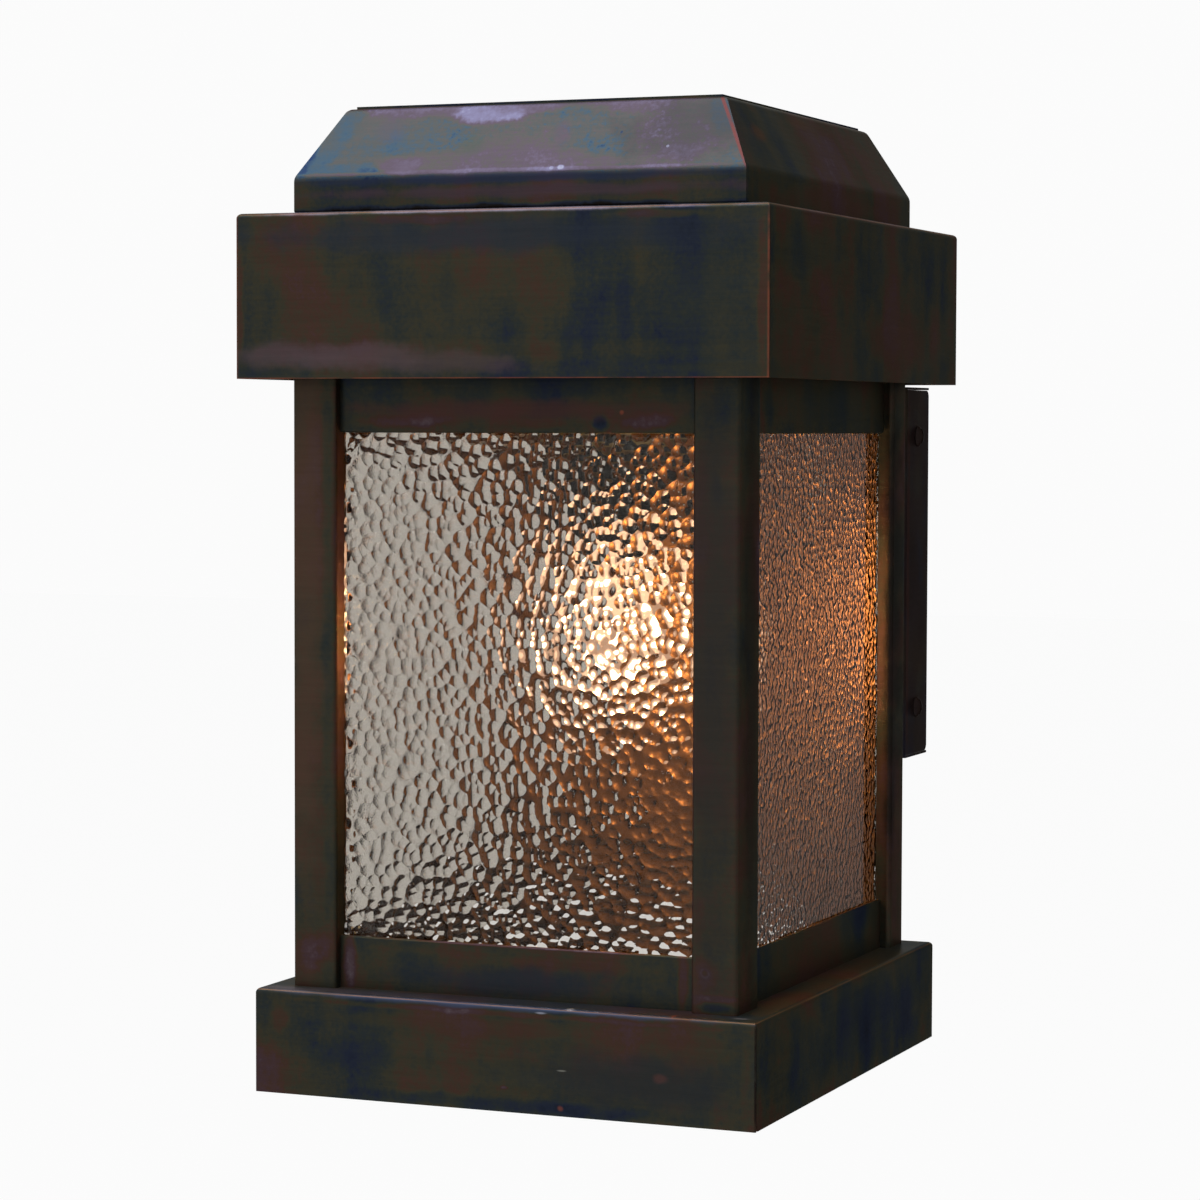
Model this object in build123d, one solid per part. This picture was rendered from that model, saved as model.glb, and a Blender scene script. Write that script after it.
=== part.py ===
from build123d import *
import math
import os

# A square wall lantern folded from thin sheet. Millimetres, +Z up, +X to the right as one faces the
# lantern, +Y into the wall. The origin is on the wall, at the middle of the wall bracket.

# Sheet and folds
sheet = 1.0
bend = 1.0
seam = 0.25
hem = 6.0

# Glazed body
body_width = 194.0
body_depth = 215.5
body_shown = 248.7
mount_above_plinth = 165.0
post_face = 19.5
post_side = 25.0
rear_flange = 19.0
return_depth = 9.5
rail_recess = 4.5
bottom_rail = 21.4
top_rail_shown = 21.6
top_rail_hidden = 26.4

# Glass panes and the tabs that hold them
glass = 3.0
glass_play = 0.5
glass_overlap = 8.0
clip_sheet = 0.8
clip_height = 10.0
clip_leg = 5.5
clip_reach = 5.0
clip_low = 15.0
clip_high = 1.0

# Crown band and plinth
band_height = 66.7
band_side = 17.3
band_front = 15.4
band_rear = 18.3
plinth_height = 42.8
plinth_side = 11.7
plinth_front = 10.6
plinth_rear = 7.6
ledge = 14.0
ledge_corner = 4.0
notch_width = 1.6
notch_height = 3.0

# Cap
cap_side = 16.4
cap_front = 18.9
cap_rear = 18.0
cap_skirt = 15.1
cap_rise = 29.1
slope_side = 15.3
slope_front = 19.1
slope_rear = 16.7
crease_radius = 6.0
brow_radius = 3.5
cap_flange = 12.0
cap_top_flange = 10.0
plate_inset = 2.6

# Box at the back and its rivets
box_depth = 34.5
box_height = 165.3
box_standoff = 0.5
box_corner = 3.0
box_rivet_x = 70.0
box_rivet_z = 60.0
rivet_radius = 1.6
rivet_head = 3.4
rivet_dome = 1.3
hole_play = 0.1

# Wall bracket and its screws
bracket_sheet = 1.5
bracket_bend = 1.5
bracket_play = 0.5
bracket_height = 140.0
bracket_bar = 44.0
bracket_flange = 25.0
wall_slot_spacing = 88.9
wall_slot_length = 14.0
wall_slot_width = 4.8
screw_radius = 2.1
screw_head = 4.8
screw_dome = 2.6
screw_length = 10.0
screw_slot = 1.2
screw_edge = 0.2
screw_spacing = 121.6
screw_from_wall = 16.5
screw_hole_play = 0.3
thread_play = 0.05
ground_x = 28.0
ground_z = 11.0
ground_head = 4.3
ground_tip = 0.15

# Bush in the wire hole
wire_hole_z = 45.0
grommet_bore = 4.5
grommet_groove = 8.0
grommet_flange = 11.0
grommet_lip = 2.4
grommet_chamfer = 0.8

# Bar across the top, nipple and nuts
bar_sheet = 1.5
bar_width = 22.0
bar_above_band = 2.3
bar_upstand = 20.0
bar_rivet_spacing = 12.0
bar_rivet_up = 12.0
nipple_radius = 5.0
nipple_bore = 3.3
nipple_above = 9.0
nipple_below = 10.0
nut_flats = 14.3
nut_height = 3.0

# Lampholder
cap_height = 21.6
cap_boss = 8.0
cap_boss_height = 5.0
cap_wall = 1.2
cap_bevel = 4.0
holder_radius = 19.5
holder_web = 8.0
holder_length = 38.0
holder_edge = 1.5
holder_skirt = 4.0
grip_low = 8.0
grip_high = 21.5
grip_slope = 1.5
grip_depth = 1.2
terminal_down = 8.2
terminal_radius = 1.7
terminal_head = 3.8
terminal_dome = 2.1
terminal_length = 4.0
terminal_tip = 0.4
shell_wall = 0.5
shell_play = 0.1
shell_length = 26.0
shell_hole = 7.0
tongue_width = 6.0
tongue_sheet = 0.6
tongue_bend = 0.4
tongue_drop = 2.0
tongue_foot = 9.0
tongue_start = 4.5
tongue_end = 1.5
tongue_tip = 4.0
contact_gap = 0.4

# Lamp with a medium screw base
lamp_radius = 30.0
lamp_length = 109.0
lamp_wall = 0.8
lamp_neck = 12.4
neck_straight = 5.0
base_radius = 13.1
base_wall = 0.5
base_play = 0.5
base_length = 25.0
base_cone = 3.0
base_mouth = 10.3
base_lip = 2.0
insulator_height = 2.5
insulator_ring = 0.8
contact_radius = 4.5
contact_height = 1.5
stem_play = 0.2
stem_sunk = 0.5
stem_rim = 1.0
stem_radius = 3.5
stem_flare = 2.0
stem_flare_end = 8.0
stem_waist = 13.0
stem_length = 36.0
cage_strands = 8
cage_radius = 9.0
cage_height = 26.0
cage_start = 190.0
cage_turn = 340.0
lead_gap = 1.5
wire_radius = 0.5

# Places worked out from the sizes above
body_half = body_width / 2
body_rear = -box_depth
body_front = body_rear - body_depth
body_middle = (body_front + body_rear) / 2
plinth_top = -mount_above_plinth
band_bottom = plinth_top + body_shown
band_top = band_bottom + band_height
deck_under = band_top - sheet
post_height = deck_under - plinth_top
window_bottom = plinth_top + bottom_rail
window_top = band_bottom - top_rail_shown
front_window = body_width - 2 * post_face
side_window = body_depth - post_side - rear_flange
side_window_middle = (body_front + post_side + body_rear - rear_flange) / 2
fold = bend + sheet
glass_face = rail_recess + 2 * sheet

# Where each glazed wall stands: local X runs across the wall, local Y goes into the lantern
front_wall = Pos(0, body_front, 0)
left_wall = Pos(-body_half, side_window_middle, 0) * Rot(0, 0, -90)
right_wall = Pos(body_half, side_window_middle, 0) * Rot(0, 0, 90)


def block(x, y, z):
    size = [limits[1] - limits[0] for limits in (x, y, z)]
    middle = [(limits[0] + limits[1]) / 2 for limits in (x, y, z)]
    return Pos(*middle) * Box(*size)


def rod(start, direction, radius, length):
    return extrude(Plane(start, z_dir=direction) * Circle(radius), length)


def folded(points, thickness, inside, side):
    # The face between the outer line of a fold and the same line moved in by the sheet
    outer = FilletPolyline(*points, radius=inside + thickness)
    return make_face(offset(outer, amount=thickness, side=side, closed=True))


def mitred(front_view, side_view, width, depth):
    # What both views share: folds that run round all four sides and meet in mitres
    across = extrude(front_view, depth, both=True)
    along = extrude(side_view, width, both=True)
    return across & along


def arch(plane, width, height, corner):
    # An upright rectangle with its two top corners rounded
    outline = plane * Rectangle(width, height, align=(Align.CENTER, Align.MIN))
    return fillet(outline.vertices().sort_by(Axis.Z)[-2:], corner)


def tray_form(width, depth, height, corner):
    front_view = arch(Plane.XZ, width, height, corner)
    side_view = arch(Plane.YZ, depth, height, corner)
    return mitred(front_view, side_view, width, depth)


def tray(width, depth, height):
    # A tray folded from one sheet, open below; the side flanges butt against the front and rear ones
    inner = tray_form(width - 2 * sheet, depth - 2 * sheet, height - sheet, bend)
    shape = tray_form(width, depth, height, fold) - inner
    for x in (-1, 1):
        for y in (-1, 1):
            shape -= block(
                sorted((x * (width / 2 - sheet), x * (width / 2 + sheet))),
                sorted((y * (depth / 2 - sheet), y * (depth / 2 - sheet - seam))),
                (-sheet, height - fold),
            )
    return shape


def dome(radius, height):
    # A slice off a ball, standing on the XY plane
    ball = (radius**2 + height**2) / (2 * height)
    half_angle = math.asin(radius / ball) / 2
    halfway = (ball * math.sin(half_angle), height - ball + ball * math.cos(half_angle))
    arc = ThreePointArc((radius, 0), halfway, (0, height))
    outline = [Line((0, 0), (radius, 0)), arc, Line((0, height), (0, 0))]
    return revolve(Plane.XZ * make_face(outline), Axis.Z)


def rivet(grip):
    # Local Z from the underside of one head to the underside of the other
    shank = Cylinder(rivet_radius, grip, align=(Align.CENTER, Align.CENTER, Align.MIN))
    head = dome(rivet_head, rivet_dome)
    return shank + Pos(0, 0, grip) * head + Rot(180, 0, 0) * head


def screw(length, radius, head_radius, head_height):
    # Local Z points out of the head; the head's underside is at zero
    head = dome(head_radius, head_height) & Cylinder(
        head_radius - screw_edge, 2 * head_height, align=(Align.CENTER, Align.CENTER, Align.CENTER)
    )
    slot = block(
        (-head_radius, head_radius),
        (-screw_slot / 2, screw_slot / 2),
        (head_height - screw_slot, head_height + 1),
    )
    shank = Cylinder(radius, length, align=(Align.CENTER, Align.CENTER, Align.MAX))
    return head - slot + shank


def turned(points, x=0.0, y=0.0):
    # A solid turned about a vertical axis from (radius, height) points
    outline = Plane.XZ * make_face(Polyline(*points, close=True))
    return Pos(x, y, 0) * revolve(outline, Axis.Z)


# Cap and crown


def cap_view(plane, low, high, slopes, inset, brow):
    # The cap seen level: short skirt, slopes and a flat top, with every bend rounded
    outline = Polyline(
        (low, 0),
        (high, 0),
        (high, cap_skirt),
        (high - slopes[1], cap_skirt + cap_rise),
        (low + slopes[0], cap_skirt + cap_rise),
        (low, cap_skirt),
        close=True,
    )
    view = offset(make_face(outline), amount=-inset, kind=Kind.INTERSECTION)
    corners = view.vertices().sort_by(Axis.Y)
    bends = zip((fold - inset, crease_radius - inset, brow), (corners[:2], corners[2:4], corners[4:]))
    for radius, pair in bends:
        here = [v for v in view.vertices() if min((v.center() - p.center()).length for p in pair) < 0.01]
        view = fillet(here, radius)
    return plane * view


band_width = body_width + 2 * band_side
band_low = body_front - band_front
band_high = body_rear + band_rear
cap_half = band_width / 2 - cap_side
cap_low = band_low + cap_front
cap_high = band_high - cap_rear
cap_plate_z = band_top + cap_skirt + cap_rise


def cap_form(inset, brow):
    reach = 2 * abs(cap_low)
    front_view = cap_view(Plane.XZ, -cap_half, cap_half, (slope_side, slope_side), inset, brow)
    side_view = cap_view(Plane.YZ, cap_low, cap_high, (slope_front, slope_rear), inset, brow)
    return mitred(front_view, side_view, reach, reach)


def make_cap_hood():
    bottom = block(
        (cap_flange - cap_half, cap_half - cap_flange),
        (cap_low + cap_flange, cap_high - cap_flange),
        (-sheet, 2 * sheet),
    )
    top = block(
        (slope_side + cap_top_flange - cap_half, cap_half - slope_side - cap_top_flange),
        (cap_low + slope_front + cap_top_flange, cap_high - slope_rear - cap_top_flange),
        (cap_skirt + cap_rise - 2 * sheet, cap_skirt + cap_rise + sheet),
    )
    shape = cap_form(0, brow_radius) - cap_form(sheet, sheet) - bottom - top
    return Pos(0, 0, band_top) * shape


def make_cap_top_plate():
    half = cap_half - slope_side - plate_inset
    low = cap_low + slope_front + plate_inset
    high = cap_high - slope_rear - plate_inset
    return block((-half, half), (low, high), (cap_plate_z, cap_plate_z + sheet))


def make_crown_band():
    shape = tray(band_width, band_high - band_low, band_height)
    return Pos(0, (band_low + band_high) / 2, band_bottom) * shape


# Plinth


def make_plinth():
    low = body_front - plinth_front
    high = body_rear + plinth_rear
    width = body_width + 2 * plinth_side
    depth = high - low
    shape = Pos(0, (low + high) / 2, plinth_top - plinth_height) * tray(width, depth, plinth_height)
    mouth = Rectangle(body_width - 2 * ledge, body_depth - 2 * ledge)
    mouth = fillet(mouth.vertices(), ledge_corner)
    shape -= Pos(0, body_middle, plinth_top - 2 * sheet) * extrude(mouth, 3 * sheet)
    # The seams open into a small notch at the foot of each front corner
    notch = Plane.YZ * make_face(
        Polyline((-notch_width / 2, 0), (notch_width / 2, 0), (0, notch_height), close=True)
    )
    cutter = extrude(notch, width, both=True)
    return shape - Pos(0, low + sheet + notch_width / 2, plinth_top - plinth_height) * cutter


# Posts and back


def make_front_left_post():
    left = -body_half
    section = folded(
        [
            (left + post_face, body_front + return_depth),
            (left + post_face, body_front),
            (left, body_front),
            (left, body_front + post_side),
            (left + return_depth, body_front + post_side),
        ],
        sheet,
        bend,
        Side.RIGHT,
    )
    return Pos(0, 0, plinth_top) * extrude(section, post_height)


def make_front_right_post():
    return mirror(make_front_left_post(), about=Plane.YZ)


def box_rivet_places():
    return [(x * box_rivet_x, z * box_rivet_z) for x in (-1, 1) for z in (-1, 1)]


def back_holes():
    # Holes that go through the back shell and the front of the box together
    start = body_rear - 2 * sheet
    cut = rod((0, start, wire_hole_z), (0, 1, 0), grommet_groove + hole_play, 4 * sheet)
    for x, z in box_rivet_places():
        cut += rod((x, start, z), (0, 1, 0), rivet_radius + hole_play, 4 * sheet)
    return cut


def make_back_shell():
    near = body_rear - rear_flange
    inner = body_half - return_depth
    section = folded(
        [
            (-inner, near),
            (-body_half, near),
            (-body_half, body_rear),
            (body_half, body_rear),
            (body_half, near),
            (inner, near),
        ],
        sheet,
        bend,
        Side.RIGHT,
    )
    return Pos(0, 0, plinth_top) * extrude(section, post_height) - back_holes()


# Rails, panes and tabs, each made in its wall's own frame


def rail(width, height):
    # Hemmed along its lower edge, which is at zero
    strip = Rectangle(sheet, height, align=(Align.MIN, Align.MIN))
    turned_up = Rectangle(2 * sheet, hem, align=(Align.MIN, Align.MIN))
    section = Plane.YZ * (strip + turned_up)
    edge = section.vertices().sort_by(Axis.Z)[:2]
    section = fillet(edge, 0.9 * sheet)
    return Pos(0, rail_recess, 0) * extrude(section, width / 2, both=True)


def top_rail(width):
    return Pos(0, 0, window_top) * rail(width, top_rail_shown + top_rail_hidden)


def bottom_rail_of(width):
    flipped = mirror(rail(width, bottom_rail), about=Plane.XY)
    return Pos(0, 0, window_bottom) * flipped


def bar_rivet_places():
    height = bar_z + bar_rivet_up
    return [(body_middle + y * bar_rivet_spacing / 2, height) for y in (-1, 1)]


def bar_rivet_holes():
    cut = None
    for y, z in bar_rivet_places():
        drill = rod((-body_half, y, z), (1, 0, 0), rivet_radius + hole_play, body_width)
        cut = drill if cut is None else cut + drill
    return cut


def side_top_rail(wall):
    return wall * top_rail(side_window) - bar_rivet_holes()


def pane(width):
    half = width / 2 - glass_play
    top = window_top + glass_overlap
    return block((-half, half), (glass_face, glass_face + glass), (plinth_top, top))


def clips(width):
    behind = glass_face + glass
    post = -width / 2 - sheet
    legs = block((post - clip_sheet, post), (behind - clip_leg, behind + clip_sheet), (0, clip_height))
    legs += block((post - clip_sheet, clip_reach - width / 2), (behind, behind + clip_sheet), (0, clip_height))
    edges = legs.edges().filter_by(Axis.Z)
    tab = fillet([edges.sort_by(Axis.Y)[-2:].sort_by(Axis.X)[0]], 0.9 * clip_sheet)
    tabs = []
    for z in (window_bottom - clip_low, window_top + clip_high):
        tabs += [Pos(0, 0, z) * tab, Pos(0, 0, z) * mirror(tab, about=Plane.YZ)]
    return tabs


def make_glass_clips():
    tabs = [front_wall * tab for tab in clips(front_window)]
    for wall in (left_wall, right_wall):
        tabs += [wall * tab for tab in clips(side_window)]
    return tabs


# Box at the back, bracket and screws


def make_back_box():
    # A tray that opens towards the wall; the side flanges' corners are rounded there
    depth = box_depth - box_standoff
    shape = Pos(0, -box_standoff, 0) * Rot(90, 0, 0) * tray(body_width, box_height, depth)
    edges = shape.edges().filter_by(Axis.X)
    corners = [e for e in edges if e.center().Y > -box_standoff - 0.01 and e.length < 1.5 * sheet]
    shape = fillet(corners, box_corner)
    for z in side_screw_heights():
        hole = screw_radius + screw_hole_play
        shape -= rod((-body_width, -screw_from_wall, z), (1, 0, 0), hole, 2 * body_width)
    return shape - back_holes()


def side_screw_heights():
    return (-screw_spacing / 2, screw_spacing / 2)


bracket_half = body_half - sheet - bracket_play


def make_wall_bracket():
    fold_line = bracket_sheet + bracket_bend
    section = folded(
        [
            (-bracket_half, -bracket_flange),
            (-bracket_half, 0),
            (bracket_half, 0),
            (bracket_half, -bracket_flange),
        ],
        bracket_sheet,
        bracket_bend,
        Side.RIGHT,
    )
    shape = extrude(section, bracket_bar / 2, both=True)
    for x in (-1, 1):
        shape += block(
            sorted((x * bracket_half, x * (bracket_half - bracket_sheet))),
            (-bracket_flange, -fold_line),
            (-bracket_height / 2, bracket_height / 2),
        )
        slot = Plane.XZ * SlotOverall(wall_slot_length, wall_slot_width)
        shape -= Pos(x * wall_slot_spacing / 2, 0, 0) * extrude(slot, 3 * bracket_sheet, both=True)
    for z in side_screw_heights():
        shape -= rod(
            (-body_width, -screw_from_wall, z), (1, 0, 0), screw_radius + thread_play, 2 * body_width
        )
    ground = rod(
        (ground_x, -3 * bracket_sheet, ground_z), (0, 1, 0), screw_radius + thread_play, 6 * bracket_sheet
    )
    return shape - ground


def make_side_screws():
    one = screw(screw_length, screw_radius, screw_head, screw_dome)
    screws = []
    for z in side_screw_heights():
        for x in (-1, 1):
            screws.append(Pos(x * body_half, -screw_from_wall, z) * Rot(0, 90 * x, 0) * one)
    return screws


def make_ground_screw():
    one = screw(bracket_sheet - ground_tip, screw_radius, ground_head, screw_dome)
    return Pos(ground_x, -bracket_sheet, ground_z) * Rot(90, 0, 0) * one


def make_back_box_rivets():
    one = rivet(2 * sheet)
    start = body_rear + sheet
    return [Pos(x, start, z) * Rot(90, 0, 0) * one for x, z in box_rivet_places()]


def make_wire_grommet():
    half = sheet
    outer = half + grommet_lip
    outline = Polyline(
        (grommet_bore, -outer),
        (grommet_flange, -outer),
        (grommet_flange, -half),
        (grommet_groove, -half),
        (grommet_groove, half),
        (grommet_flange, half),
        (grommet_flange, outer),
        (grommet_bore, outer),
        close=True,
    )
    section = Plane.XZ * chamfer(make_face(outline).vertices().sort_by(Axis.Y)[:2], grommet_chamfer)
    return Pos(0, body_rear, wire_hole_z) * Rot(90, 0, 0) * revolve(section, Axis.Z)


# Lampholder

bar_z = band_bottom + bar_above_band
holder_top = bar_z - nut_height
holder_web_top = holder_top - cap_height
holder_web_under = holder_web_top - holder_web
terminal_z = holder_web_top - terminal_down
lamp_top = holder_web_under - tongue_sheet - tongue_drop - contact_gap
shell_bore = base_radius + base_play
shell_radius = shell_bore + shell_wall


def make_lamp_crossbar():
    half = body_half - rail_recess - sheet
    section = folded(
        [
            (-half, bar_z + bar_upstand),
            (-half, bar_z),
            (half, bar_z),
            (half, bar_z + bar_upstand),
        ],
        bar_sheet,
        bar_sheet,
        Side.LEFT,
    )
    shape = Pos(0, body_middle, 0) * extrude(Plane.XZ * section, bar_width / 2, both=True)
    shape -= rod(
        (0, body_middle, bar_z - bar_sheet), (0, 0, 1), nipple_radius + hole_play, 3 * bar_sheet
    )
    return shape - bar_rivet_holes()


def make_crossbar_rivets():
    one = rivet(sheet + bar_sheet)
    start = body_half - rail_recess
    rivets = []
    for y, z in bar_rivet_places():
        for x in (-1, 1):
            rivets.append(Pos(x * start, y, z) * Rot(0, -90 * x, 0) * one)
    return rivets


def make_socket_nipple():
    low = holder_top - nipple_below
    high = bar_z + bar_sheet + nut_height + nipple_above
    tube = turned(
        [(nipple_bore, low), (nipple_radius, low), (nipple_radius, high), (nipple_bore, high)],
        y=body_middle,
    )
    return tube


def make_socket_locknuts():
    blank = RegularPolygon(nut_flats / 2, 6, major_radius=False)
    blank -= Circle(nipple_radius + thread_play)
    nut = extrude(blank, nut_height)
    return [Pos(0, body_middle, z) * nut for z in (holder_top, bar_z + bar_sheet)]


def make_socket_cap():
    rim = holder_radius + cap_wall
    low = holder_web_top - holder_skirt
    shoulder = holder_web_top + cap_boss_height
    bore = nipple_radius + thread_play
    bevel_inside = cap_bevel + cap_wall * math.tan(math.pi / 8)
    outline = [
        (bore, holder_top),
        (cap_boss, holder_top),
        (cap_boss, holder_top - cap_boss_height),
        (rim - cap_bevel, shoulder),
        (rim, shoulder - cap_bevel),
        (rim, low),
        (holder_radius, low),
        (holder_radius, shoulder - bevel_inside),
        (holder_radius - bevel_inside, shoulder - cap_wall),
        (bore, holder_top - cap_boss_height - cap_wall),
    ]
    return turned(outline, y=body_middle)


def make_socket_body():
    bore = shell_radius + shell_play
    low = holder_web_top - holder_length
    outline = [
        (tongue_width / 2, holder_web_under),
        (bore, holder_web_under),
        (bore, low),
        (holder_radius - holder_edge, low),
        (holder_radius, low + holder_edge),
        (holder_radius, low + grip_low),
        (holder_radius - grip_depth, low + grip_low + grip_slope),
        (holder_radius - grip_depth, low + grip_high - grip_slope),
        (holder_radius, low + grip_high),
        (holder_radius, holder_web_top),
        (tongue_width / 2, holder_web_top),
    ]
    shape = turned(outline, y=body_middle)
    depth = terminal_length + terminal_tip
    for x in (-1, 1):
        start = (x * (holder_radius - depth), body_middle, terminal_z)
        shape -= rod(start, (x, 0, 0), terminal_radius + thread_play, 2 * depth)
    return shape


def make_terminal_screws():
    one = screw(terminal_length, terminal_radius, terminal_head, terminal_dome)
    return [
        Pos(x * holder_radius, body_middle, terminal_z) * Rot(0, 90 * x, 0) * one for x in (-1, 1)
    ]


def make_socket_shell():
    high = holder_web_under - tongue_sheet
    low = high - shell_length
    outline = [
        (shell_bore, low),
        (shell_radius, low),
        (shell_radius, high),
        (shell_hole, high),
        (shell_hole, high - shell_wall),
        (shell_bore, high - shell_wall),
    ]
    return turned(outline, y=body_middle)


def make_socket_contact():
    # A sprung tongue that hangs from the web and presses on the lamp's centre contact
    high = holder_web_under
    section = folded(
        [
            (-tongue_foot, high),
            (-tongue_start, high),
            (-tongue_end, high - tongue_drop),
            (tongue_tip, high - tongue_drop),
        ],
        tongue_sheet,
        tongue_bend,
        Side.RIGHT,
    )
    return Pos(0, body_middle, 0) * extrude(Plane.XZ * section, tongue_width / 2, both=True)


# Lamp


def envelope_lines(inset):
    # From the open neck down to the tip, as seen from the side; inset moves the wall inwards.
    # Below the metal base the neck flares on an arc that runs on into the globe
    centre = lamp_top - lamp_length + lamp_radius
    collar = lamp_top - base_length
    rise = collar - centre
    flare_radius = (rise**2 + lamp_neck**2 - lamp_radius**2) / (2 * (lamp_radius - lamp_neck))
    lean = math.atan2(rise, lamp_neck + flare_radius)
    globe_middle = (lean - math.pi / 2) / 2

    def on_flare(angle):
        reach = flare_radius + inset
        return (lamp_neck + flare_radius - reach * math.cos(angle), collar - reach * math.sin(angle))

    def on_globe(angle):
        reach = lamp_radius - inset
        return (reach * math.cos(angle), centre + reach * math.sin(angle))

    neck = Line((lamp_neck - inset, collar + neck_straight), on_flare(0))
    flare = ThreePointArc(on_flare(0), on_flare(lean / 2), on_globe(lean))
    globe = ThreePointArc(on_globe(lean), on_globe(globe_middle), on_globe(-math.pi / 2))
    return [neck, flare, globe]


def make_lamp_glass():
    outer = envelope_lines(0)
    inner = envelope_lines(lamp_wall)
    rim = Line(inner[0] @ 0, outer[0] @ 0)
    tip = Line(outer[2] @ 1, inner[2] @ 1)
    section = Plane.XZ * make_face([*outer, tip, *inner, rim])
    return Pos(0, body_middle, 0) * revolve(section, Axis.Z)


def make_lamp_contact():
    button = dome(contact_radius, contact_height)
    return Pos(0, body_middle, lamp_top - contact_height) * button


insulator_top = lamp_top - contact_height
base_top = insulator_top - insulator_height
base_bottom = lamp_top - base_length


def make_lamp_insulator():
    return turned(
        [
            (0, base_top),
            (base_mouth, base_top),
            (contact_radius + insulator_ring, insulator_top),
            (0, insulator_top),
        ],
        y=body_middle,
    )


def make_lamp_cap():
    inside = base_radius - base_wall
    return turned(
        [
            (base_mouth - base_lip, base_top),
            (base_mouth, base_top),
            (base_radius, base_top - base_cone),
            (base_radius, base_bottom),
            (inside, base_bottom),
            (inside, base_top - base_cone - 0.4 * base_wall),
            (base_mouth - 0.8 * base_wall, base_top - base_wall),
            (base_mouth - base_lip, base_top - base_wall),
        ],
        y=body_middle,
    )


stem_top = base_bottom + neck_straight - stem_sunk
stem_bottom = stem_top - stem_length


def make_lamp_stem():
    flare = lamp_neck - lamp_wall - stem_play
    return turned(
        [
            (0, stem_top),
            (flare, stem_top),
            (flare, stem_top - stem_rim),
            (stem_radius + stem_flare, stem_top - stem_flare_end),
            (stem_radius, stem_top - stem_waist),
            (stem_radius, stem_bottom + stem_rim),
            (stem_radius - stem_rim, stem_bottom),
            (0, stem_bottom),
        ],
        y=body_middle,
    )


def make_lamp_filament():
    # A wire that runs up and down between two rings of hooks, with a lead from each end to the stem
    middle = lamp_top - lamp_length + lamp_radius
    heights = (middle + cage_height / 2, middle - cage_height / 2)
    points = [Vector(-stem_radius / 2, 0, stem_bottom + stem_rim)]
    for i in range(cage_strands + 1):
        angle = math.radians(cage_start + cage_turn * i / cage_strands)
        points.append(Vector(cage_radius * math.cos(angle), cage_radius * math.sin(angle), heights[i % 2]))
    points.append(Vector(-stem_radius / 2, lead_gap, stem_bottom + stem_rim))
    wire = Pos(*points[1]) * Sphere(wire_radius)
    for near, far in zip(points, points[1:]):
        run = far - near
        wire += rod(near, run, wire_radius, run.length) + Pos(*far) * Sphere(wire_radius)
    around = (-stem_radius - wire_radius, stem_radius + wire_radius)
    return Pos(0, body_middle, 0) * (wire - block(around, around, (stem_bottom, stem_bottom + stem_radius)))


nodes = {
    "cap_top_plate": make_cap_top_plate(),
    "cap_hood": make_cap_hood(),
    "crown_band": make_crown_band(),
    "front_left_post": make_front_left_post(),
    "front_right_post": make_front_right_post(),
    "back_shell": make_back_shell(),
    "front_top_rail": front_wall * top_rail(front_window),
    "front_bottom_rail": front_wall * bottom_rail_of(front_window),
    "left_top_rail": side_top_rail(left_wall),
    "left_bottom_rail": left_wall * bottom_rail_of(side_window),
    "right_top_rail": side_top_rail(right_wall),
    "right_bottom_rail": right_wall * bottom_rail_of(side_window),
    "plinth": make_plinth(),
    "front_glass": front_wall * pane(front_window),
    "left_glass": left_wall * pane(side_window),
    "right_glass": right_wall * pane(side_window),
    "glass_clips": make_glass_clips(),
    "back_box": make_back_box(),
    "back_box_rivets": make_back_box_rivets(),
    "wall_bracket": make_wall_bracket(),
    "side_screws": make_side_screws(),
    "ground_screw": make_ground_screw(),
    "wire_grommet": make_wire_grommet(),
    "lamp_crossbar": make_lamp_crossbar(),
    "crossbar_rivets": make_crossbar_rivets(),
    "socket_nipple": make_socket_nipple(),
    "socket_locknuts": make_socket_locknuts(),
    "socket_cap": make_socket_cap(),
    "socket_body": make_socket_body(),
    "terminal_screws": make_terminal_screws(),
    "socket_shell": make_socket_shell(),
    "socket_contact": make_socket_contact(),
    "lamp_glass": make_lamp_glass(),
    "lamp_cap": make_lamp_cap(),
    "lamp_insulator": make_lamp_insulator(),
    "lamp_contact": make_lamp_contact(),
    "lamp_stem": make_lamp_stem(),
    "lamp_filament": make_lamp_filament(),
}

os.makedirs("parts", exist_ok=True)
for name, made in nodes.items():
    pieces = made if isinstance(made, list) else [made]
    shape = pieces[0] if len(pieces) == 1 else Compound(children=pieces)
    export_step(shape, f"parts/{name}.step")
    print(name, round(shape.volume, 1))
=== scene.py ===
import itertools
import math

import bpy
import numpy as np
from mathutils import Matrix, Vector


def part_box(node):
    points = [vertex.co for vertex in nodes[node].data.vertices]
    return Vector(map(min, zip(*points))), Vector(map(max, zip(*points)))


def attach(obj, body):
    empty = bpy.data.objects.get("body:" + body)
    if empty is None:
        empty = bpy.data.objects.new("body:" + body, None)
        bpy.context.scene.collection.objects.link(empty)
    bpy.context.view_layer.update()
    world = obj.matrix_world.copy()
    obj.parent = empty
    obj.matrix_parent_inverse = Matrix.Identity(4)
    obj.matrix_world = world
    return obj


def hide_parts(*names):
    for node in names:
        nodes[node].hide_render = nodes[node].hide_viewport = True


# A square copper wall lantern with hammered glass, lit from inside. Metres; +Y goes into the wall.

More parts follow.
